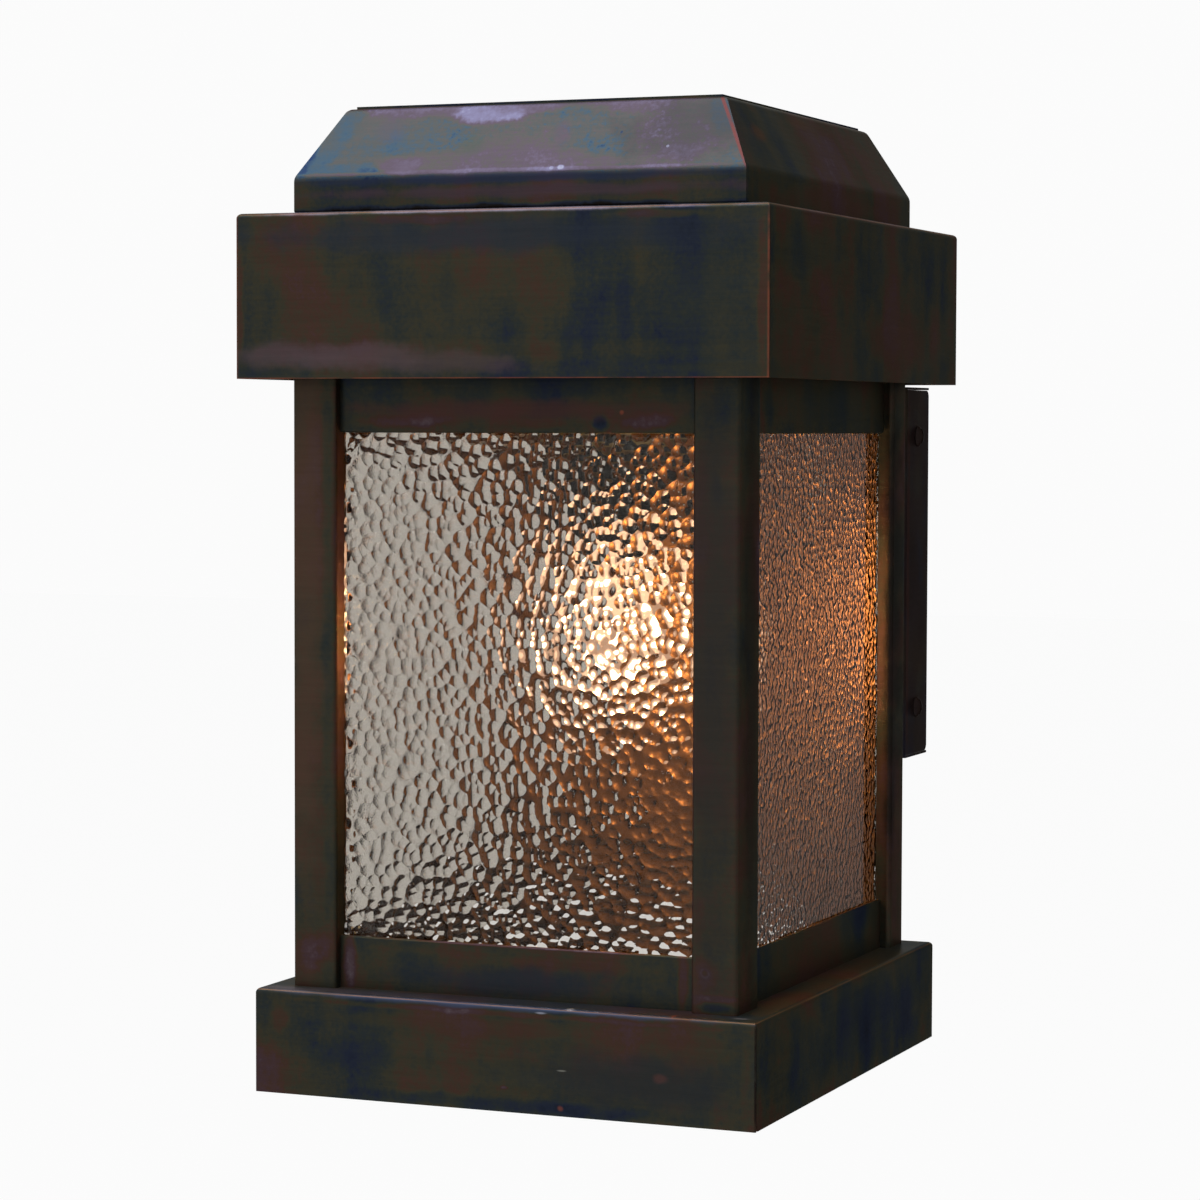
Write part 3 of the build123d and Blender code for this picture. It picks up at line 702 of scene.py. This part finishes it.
def hotWire(look):
    # Through the panes the round lamp light shows in front of the wire, as its glare
    material, finish = newFinish("hotFilament")
    material.cycles.emission_sampling = "NONE"
    glow = finish.node("ShaderNodeEmission", None, {0: (*look["hot"], 1), 1: look["hotStrength"]})
    clear = finish.node("ShaderNodeBsdfTransparent")
    hidden = finish.rays("Is Shadow Ray", "Is Diffuse Ray", "Is Glossy Ray")
    whole = finish.node("ShaderNodeMixShader", None, {0: hidden, 1: glow, 2: clear})
    finish.output("ShaderNodeOutputMaterial", whole)
    return material


dress(bulbGlass(lampLook), "lamp_glass", "lamp_stem")
dress(hotWire(lampLook), "lamp_filament")


def makeLampLight(look):
    low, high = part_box("lamp_glass")
    data = bpy.data.lights.new("lampLight", "POINT")
    data.energy = look["power"]
    data.color = look["light"]
    data.shadow_soft_size = look["lightRadius"]
    light = bpy.data.objects.new("lampLight", data)
    light.location = ((low.x + high.x) / 2, (low.y + high.y) / 2, low.z + look["lightHeight"])
    bpy.context.collection.objects.link(light)


makeLampLight(lampLook)
print("lamp lit")


# Hammered glass

glassLook = {
    # Pebbles, in millimetres
    "cellWidth": 5.1,
    "cellHeight": 4.9,
    "jitter": 0.42,
    "flat": 1.15,
    "blend": 0.8,
    "steep": 0.64,
    "lean": 0.05,
    "drop": 0.25,
    "bulge": (0.75, 1.35),
    # Small ones pressed in between
    "extra": 0.36,
    "smallAway": 0.52,
    "smallDrop": 0.10,
    "smallBulge": 1.5,
    "shallowest": 0.02,
    "deepest": 1.6,
    # Grooves stay sharp
    "snap": 0.45,
    "crease": 26.0,
    # Glass
    "tint": (0.625, 0.60, 0.56),
    "passing": 0.9,
    "bend": 1.5,
    "shine": 0.15,
    "innerShine": 0.5,
    "ripple": (500, 1.5, 2, 0.5),
    "rippleBump": (0.05, 0.0004),
}

# The axis that a pane faces along and the direction on it in which the hammered face looks, then the
# spacing of its points, the size and the relief of its pebbles beside those above, and the seed
panes = [
    ("frontPane", "front_glass", 1, -1, 0.61, 1.0, 0.88, 8),
    ("leftPane", "left_glass", 0, 1, 0.72, 1.0, 0.35, 11),
    ("rightPane", "right_glass", 0, -1, 0.65, 0.6, 0.6, 14),
]
rings = 3  # Rows of pebbles beyond each edge of a pane
gone = 999.0  # How far off a small pebble is put when there is to be none


def pebbles(width, height, random, look):
    # Jittered rows of pebbles, with some small ones pressed in between. Each has its centre, its depth
    # below the face, its lean and its bulge.
    stepX, stepZ, jitter = look["cellWidth"], look["cellHeight"], look["jitter"]
    rowX = np.arange(-rings, int(width / stepX) + rings + 1)
    rowZ = np.arange(-rings, int(height / stepZ) + rings + 1)
    ix, iz = np.meshgrid(rowX, rowZ)
    shape = ix.shape
    x = (ix + 0.5 * (iz % 2) + random.uniform(-jitter, jitter, shape)) * stepX
    z = (iz + random.uniform(-jitter, jitter, shape)) * stepZ
    drop = random.uniform(0, look["drop"], shape)
    bulge = random.uniform(*look["bulge"], shape)
    leanX, leanZ = random.normal(0, look["lean"], (2, *shape))
    more = random.uniform(0, 1, shape) < look["extra"]
    turn = random.uniform(0, 2 * math.pi, shape)
    smallX = np.where(more, x + np.cos(turn) * stepX * look["smallAway"], x + gone)
    smallZ = z + np.sin(turn) * stepZ * look["smallAway"]
    small = [smallX, smallZ, drop + look["smallDrop"], leanX, leanZ, bulge * look["smallBulge"]]
    return np.stack([np.stack([x, z, drop, leanX, leanZ, bulge]), np.stack(small)], axis=1)


def pebbledFace(width, height, step, seed, look):
    # A grid of points in millimetres and how deep each lies. A pebble is flat in the middle and
    # falls away evenly round it. The face follows whichever pebble stands highest, and the points
    # beside a groove are drawn onto it so that it stays sharp.
    random = np.random.default_rng(seed)
    across = np.linspace(0, width, int(round(width / step)) + 1)
    up = np.linspace(0, height, int(round(height / step)) + 1)
    px, pz = np.meshgrid(across, up)
    field = pebbles(width, height, random, look)
    homeX = (px / look["cellWidth"]).astype(int) + rings
    homeZ = (pz / look["cellHeight"]).astype(int) + rings
    top, topX, topZ = np.full(px.shape, 1e6), np.zeros(px.shape), np.zeros(px.shape)
    low, lowX, lowZ = top.copy(), topX.copy(), topZ.copy()
    for k, dz, dx in itertools.product((0, 1), range(-2, 3), range(-2, 3)):
        x, z, drop, leanX, leanZ, bulge = field[:, k, homeZ + dz, homeX + dx]
        ax, az = px - x, pz - z
        far = np.hypot(ax, az) + 1e-6
        hinge = np.hypot(far - look["flat"], look["blend"])
        half = bulge * look["steep"] / 2
        depth = drop + leanX * ax + leanZ * az + half * (far - look["flat"] + hinge)
        slope = half * (1 + (far - look["flat"]) / hinge) / far
        slopeX, slopeZ = leanX + slope * ax, leanZ + slope * az
        first = depth < top
        second = ~first & (depth < low)
        low = np.where(first, top, np.where(second, depth, low))
        lowX = np.where(first, topX, np.where(second, slopeX, lowX))
        lowZ = np.where(first, topZ, np.where(second, slopeZ, lowZ))
        top, topX, topZ = (
            np.where(first, depth, top),
            np.where(first, slopeX, topX),
            np.where(first, slopeZ, topZ),
        )
    crossX, crossZ = topX - lowX, topZ - lowZ
    steep = np.maximum(crossX**2 + crossZ**2, 1e-6)
    inner = (px > step) & (px < width - step) & (pz > step) & (pz < height - step)
    near = inner & ((low - top) < look["snap"] * step * np.sqrt(steep))
    pull = np.where(near, (low - top) / steep, 0.0)
    depth = top + (topX * crossX + topZ * crossZ) * pull
    limits = (look["shallowest"], look["deepest"])
    return px + crossX * pull, pz + crossZ * pull, np.clip(depth, *limits), near


def makePane(name, nodeName, normalAxis, side, step, scale, relief, seed, look):
    # A closed mesh in the place of the CAD pane: the hammered face, a rim and a flat back
    low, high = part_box(nodeName)
    widthAxis = 1 - normalAxis
    width = (high[widthAxis] - low[widthAxis]) / millimetre
    height = (high.z - low.z) / millimetre
    px, pz, depths, creased = pebbledFace(width / scale, height / scale, step / scale, seed, look)
    px, pz, depths = px * scale, pz * scale, depths * relief
    rows, columns = px.shape
    hammered = (high if side > 0 else low)[normalAxis]
    flat = (low if side > 0 else high)[normalAxis]
    verts = np.zeros((rows * columns, 3))
    verts[:, widthAxis] = low[widthAxis] + px.ravel() * millimetre
    verts[:, 2] = low.z + pz.ravel() * millimetre
    verts[:, normalAxis] = hammered - side * depths.ravel() * millimetre
    index = np.arange(rows * columns).reshape(rows, columns)
    rim = [*index[0, :], *index[1:, -1], *index[-1, -2::-1], *index[-2:0:-1, 0]]
    backs = verts[rim].copy()
    backs[:, normalAxis] = flat
    first = len(verts)
    # Each square is split along the groove that crosses it, if one does
    corners = index[:-1, :-1], index[:-1, 1:], index[1:, 1:], index[1:, :-1]
    a, b, c, d = (corner.ravel() for corner in corners)
    groove = creased.ravel()
    other = (groove[b] & groove[d])[:, None]
    firsts = np.where(other, np.stack([a, b, d], -1), np.stack([a, b, c], -1))
    seconds = np.where(other, np.stack([b, c, d], -1), np.stack([a, c, d], -1))
    faces = np.vstack([firsts, seconds]).tolist()
    pebbled = len(faces)
    count = len(rim)
    for i in range(count):
        j = (i + 1) % count
        faces.append([rim[j], rim[i], first + i, first + j])
    faces.append([first + i for i in range(count)][::-1])
    if (side > 0) != (normalAxis == 0):
        faces = [face[::-1] for face in faces]
    mesh = bpy.data.meshes.new(name)
    mesh.from_pydata(np.vstack([verts, backs]).tolist(), [], faces)
    mesh.update()
    smooth = np.zeros(len(mesh.polygons), dtype=bool)
    smooth[:pebbled] = True
    mesh.polygons.foreach_set("use_smooth", smooth)
    mesh.set_sharp_from_angle(angle=math.radians(look["crease"]))
    pane = bpy.data.objects.new(name, mesh)
    bpy.context.collection.objects.link(pane)
    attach(pane, "lantern")
    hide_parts(nodeName)
    return pane


def hammeredGlass(look):
    # Clear glass with a faint smoke tint; lamps and soft light pass straight through it
    material, finish = newFinish("hammeredGlass")
    place = finish.place()
    normal = finish.bump(finish.noise(place, *look["ripple"]), *look["rippleBump"])
    glass = finish.principled(
        Base_Color=(*look["tint"], 1.0),
        Roughness=0.0,
        IOR=look["bend"],
        Transmission_Weight=1.0,
        Normal=normal,
    )
    # Plain refraction under a share of full glass, which is larger from within, so that the face keeps
    # little sheen. Its tint is a square root because light crosses two faces.
    tint = (*(math.sqrt(c) for c in look["tint"]), 1.0)
    sockets = {"Color": tint, "IOR": look["bend"], "Normal": normal}
    bend = finish.node("ShaderNodeBsdfRefraction", None, sockets)
    within = finish.node("ShaderNodeNewGeometry", out="Backfacing")
    shine = within.calc("MAXIMUM", within * look["innerShine"], look["shine"])
    glass = finish.node("ShaderNodeMixShader", None, {0: shine, 1: bend, 2: glass})
    pale = (*(c * look["passing"] for c in look["tint"]), 1.0)
    clear = finish.node("ShaderNodeBsdfTransparent", None, {0: pale})
    passing = finish.rays("Is Shadow Ray", "Is Diffuse Ray")
    whole = finish.node("ShaderNodeMixShader", None, {0: passing, 1: glass, 2: clear})
    finish.output("ShaderNodeOutputMaterial", whole)
    return material


glassMaterial = hammeredGlass(glassLook)
for name, nodeName, *shape in panes:
    pane = makePane(name, nodeName, *shape, glassLook)
    pane.data.materials.append(glassMaterial)
print("panes hammered")


# Floor, backdrop and light

stageLook = {
    # Floor and backdrop
    "floorZ": -0.52,
    "floorHalf": 14.0,
    "dropY": 9.0,
    "dropHeight": 14.0,
    "floorShade": 0.42,
    "dropShade": 0.82,
    "cloud": (2.0, 1.0, 2, 0.5),
    "cloudLift": 0.02,
    "roughness": 0.9,
    "gloss": 0.1,
    # How white they show, and how bright the world is
    "shown": 0.95,
    "world": 0.55,
    # Softbox above
    "softboxPlace": (-0.35, -0.7, 1.5),
    "softboxAim": (0, -0.14, 0),
    "softboxPower": 30.0,
    "softboxSize": 1.5,
}

# The kinds of ray to which the background is white
showing = ("Is Camera Ray", "Is Glossy Ray", "Is Transmission Ray")


def paleStage(name, look, shade):
    # The stage looks white and still takes the shadow
    material, finish = newFinish(name)
    place = finish.place()
    soft = finish.noise(place, *look["cloud"])
    colour = finish.mix(soft, grey(shade), grey(shade + look["cloudLift"]))
    matte = finish.principled(
        Base_Color=colour,
        Roughness=look["roughness"],
        Specular_IOR_Level=look["gloss"],
    )
    white = finish.node("ShaderNodeEmission", None, {0: (1, 1, 1, 1), 1: 1.0})
    shown = finish.rays(*showing) * look["shown"]
    whole = finish.node("ShaderNodeMixShader", None, {0: shown, 1: matte, 2: white})
    # Clear from below, so that the underside of the lantern can be looked at
    under = finish.node("ShaderNodeNewGeometry", out="Backfacing")
    clear = finish.node("ShaderNodeBsdfTransparent")
    whole = finish.node("ShaderNodeMixShader", None, {0: under, 1: whole, 2: clear})
    finish.output("ShaderNodeOutputMaterial", whole)
    return material


def makeStage(look):
    half, floor, drop = look["floorHalf"], look["floorZ"], look["dropY"]
    verts = [(-half, -half, floor), (half, -half, floor), (half, drop, floor), (-half, drop, floor)]
    verts += [(-half, drop, look["dropHeight"]), (half, drop, look["dropHeight"])]
    mesh = bpy.data.meshes.new("stage")
    mesh.from_pydata(verts, [], [(0, 1, 2, 3), (3, 2, 5, 4)])
    mesh.materials.append(paleStage("paleFloor", look, look["floorShade"]))
    mesh.materials.append(paleStage("paleBackdrop", look, look["dropShade"]))
    mesh.polygons[1].material_index = 1
    stage = bpy.data.objects.new("stage", mesh)
    bpy.context.collection.objects.link(stage)


def makeWorld(look):
    world = bpy.data.worlds.new("softStudio")
    bpy.context.scene.world = world
    world.use_nodes = True
    finish = Finish(world.node_tree)
    soft = finish.node("ShaderNodeBackground", None, {0: (1, 1, 1, 1), 1: look["world"]})
    white = finish.node("ShaderNodeBackground", None, {0: (1, 1, 1, 1), 1: 1.0})
    seen = finish.rays(*showing)
    whole = finish.node("ShaderNodeMixShader", None, {0: seen, 1: soft, 2: white})
    finish.output("ShaderNodeOutputWorld", whole)


def makeSoftbox(look):
    data = bpy.data.lights.new("topSoftbox", "AREA")
    data.shape = "SQUARE"
    data.size = look["softboxSize"]
    data.energy = look["softboxPower"]
    light = bpy.data.objects.new("topSoftbox", data)
    light.location = look["softboxPlace"]
    toAim = Vector(look["softboxAim"]) - Vector(look["softboxPlace"])
    light.rotation_euler = toAim.to_track_quat("-Z", "Y").to_euler()
    bpy.context.collection.objects.link(light)


makeStage(stageLook)
makeWorld(stageLook)
makeSoftbox(stageLook)
print("stage set")
